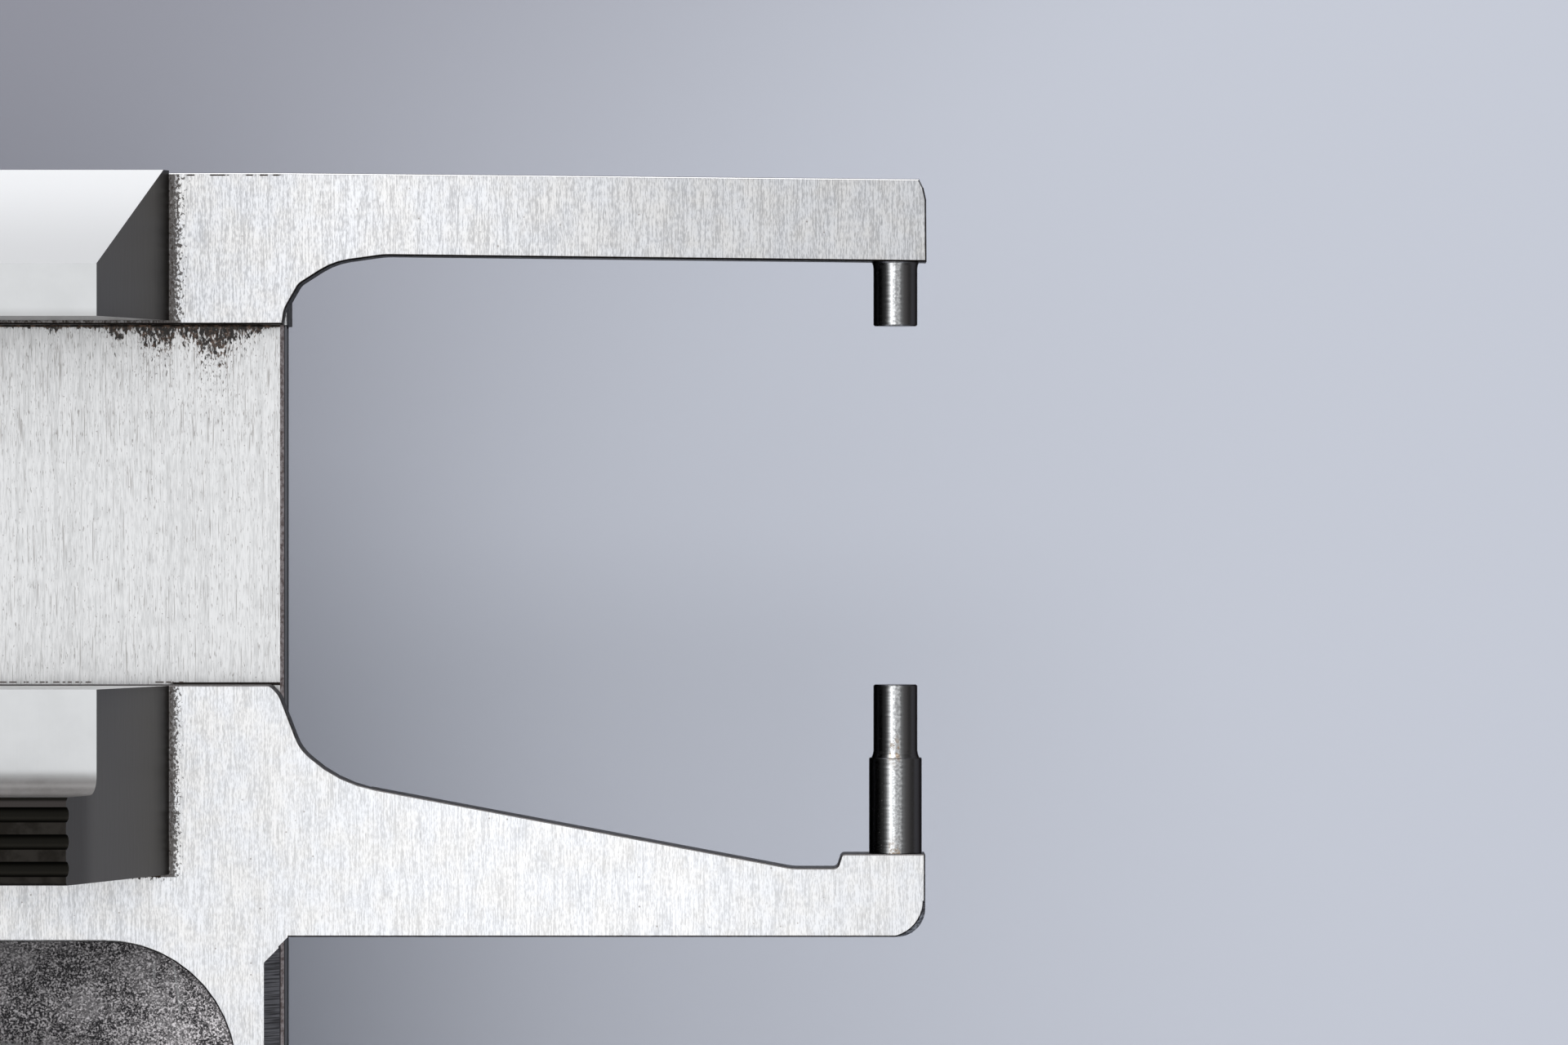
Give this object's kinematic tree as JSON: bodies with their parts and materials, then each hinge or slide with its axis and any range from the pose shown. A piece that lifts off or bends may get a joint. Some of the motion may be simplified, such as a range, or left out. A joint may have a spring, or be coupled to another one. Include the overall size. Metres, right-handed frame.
{
  "type": "gemstone lever gauge",
  "caption": "Hand dial gauge for gemstones: sliding and fixed jaws with small round pins, finger rest, thumb lever and a round dial with main and counter hands.",
  "frame": {"origin": "on the bench, on the flat back, under the dial's axis", "axes": "+Z out of the dial, +Y the way the upper jaw opens, +X the way the jaws point; the gauge lies on its back with the jaws open by 8.15 mm"},
  "size_m": [0.0694, 0.0739, 0.0162],
  "materials": {
    "frame_steel": "fine vertical brushing, worn edges",
    "jaw_steel": "fine vertical brushing, greyer at the tip",
    "slide_steel": "bright, with dark wear streaks along its travel",
    "block_steel": "smooth ground, near-white faces",
    "pin_steel": "dark polished hardened steel",
    "inlay_dark": "dark grey speckled, scratched",
    "screw_steel": "polished steel",
    "keeper_steel": "satin",
    "case_steel": "satin, turned",
    "seat_brass": "turned",
    "bezel_chrome": "polished",
    "dial_white": "white enamel with black printing",
    "hand_black": "black",
    "boss_brass": "polished",
    "crystal_glass": "clear mineral glass",
    "gasket_rubber": "matte",
    "gear_brass": "satin",
    "bush_bronze": "turned bronze",
    "arbor_steel": "polished",
    "spring_wire": "blued spring steel",
    "pad_steel": "bright, grooved"
  },
  "bodies": {
    "frame": {"frame_plate": "frame_steel", "finger_rest": "block_steel", "finger_rest_screws": "screw_steel", "lower_anvil_pin": "pin_steel", "neck_inlay": "inlay_dark", "slide_keeper": "keeper_steel", "keeper_screws": "screw_steel", "slide_retainers": "keeper_steel", "retainer_screws": "screw_steel", "case_ring": "case_steel", "rear_cover": "case_steel", "case_screws": "screw_steel", "dial_seat_ring": "seat_brass", "seat_ring_screws": "screw_steel", "bezel_snap_ring": "spring_wire", "dial_posts": "seat_brass", "inner_dial": "dial_white", "arbor_bushings": "bush_bronze", "movement_bridge": "gear_brass", "bridge_pillars": "seat_brass", "bridge_screws": "screw_steel", "hairspring": "spring_wire", "hairspring_stud": "seat_brass", "lever_pivot_post": "arbor_steel", "lever_clip": "keeper_steel", "lever_stop_post": "arbor_steel", "spring_anchor_post": "arbor_steel", "torsion_spring": "spring_wire"},
    "slide": {"slide_bar": "slide_steel", "upper_jaw": "jaw_steel", "upper_block": "block_steel", "upper_anvil_pin": "pin_steel", "jaw_screws": "screw_steel", "drive_pin": "arbor_steel"},
    "lever": {"lever_arm": "keeper_steel", "thumb_pad": "pad_steel", "pad_rivets": "screw_steel", "lever_spring_pin": "arbor_steel"},
    "main_arbor": {"pinion_arbor": "arbor_steel", "centre_gear": "gear_brass", "main_hand": "hand_black", "hand_boss": "boss_brass"},
    "counter": {"counter_arbor": "arbor_steel", "counter_wheel": "gear_brass", "counter_hand": "hand_black", "hairspring_collet": "seat_brass"},
    "bezel": {"bezel_ring": "bezel_chrome", "crystal": "crystal_glass", "scale_ring": "dial_white", "crystal_gasket": "gasket_rubber"}
  },
  "joints": [
    {"name": "slide_travel", "type": "slide", "parent": "frame", "child": "slide", "axis": [0, 1, 0], "range_m": [-0.00815, 0.01185], "stiffness_N_per_m": 40, "springref_m": -0.01015},
    {"name": "lever_turn", "type": "hinge", "parent": "frame", "child": "lever", "pos_m": [-0.016, -0.01192, 0.00535], "axis": [0, 0, 1], "range_deg": [-22.1, 32.2], "deforming": ["torsion_spring"]},
    {"name": "main_hand_turn", "type": "hinge", "parent": "frame", "child": "main_arbor", "pos_m": [0, 0, 0.003], "axis": [0, 0, 1], "range_deg": [-426.6, 293.5]},
    {"name": "counter_hand_turn", "type": "hinge", "parent": "frame", "child": "counter", "pos_m": [0.0115, 0, 0.003], "axis": [0, 0, 1], "range_deg": [-97.9, 142.2], "deforming": ["hairspring"]},
    {"name": "bezel_turn", "type": "hinge", "parent": "frame", "child": "bezel", "pos_m": [0, 0, 0.012], "axis": [0, 0, 1], "continuous": true}
  ],
  "couplings": [
    {"joint": "lever_turn", "follows": "slide_travel", "rad_per_m": 47.292},
    {"joint": "main_hand_turn", "follows": "slide_travel", "rad_per_m": -628.32},
    {"joint": "counter_hand_turn", "follows": "slide_travel", "rad_per_m": 209.44}
  ]
}
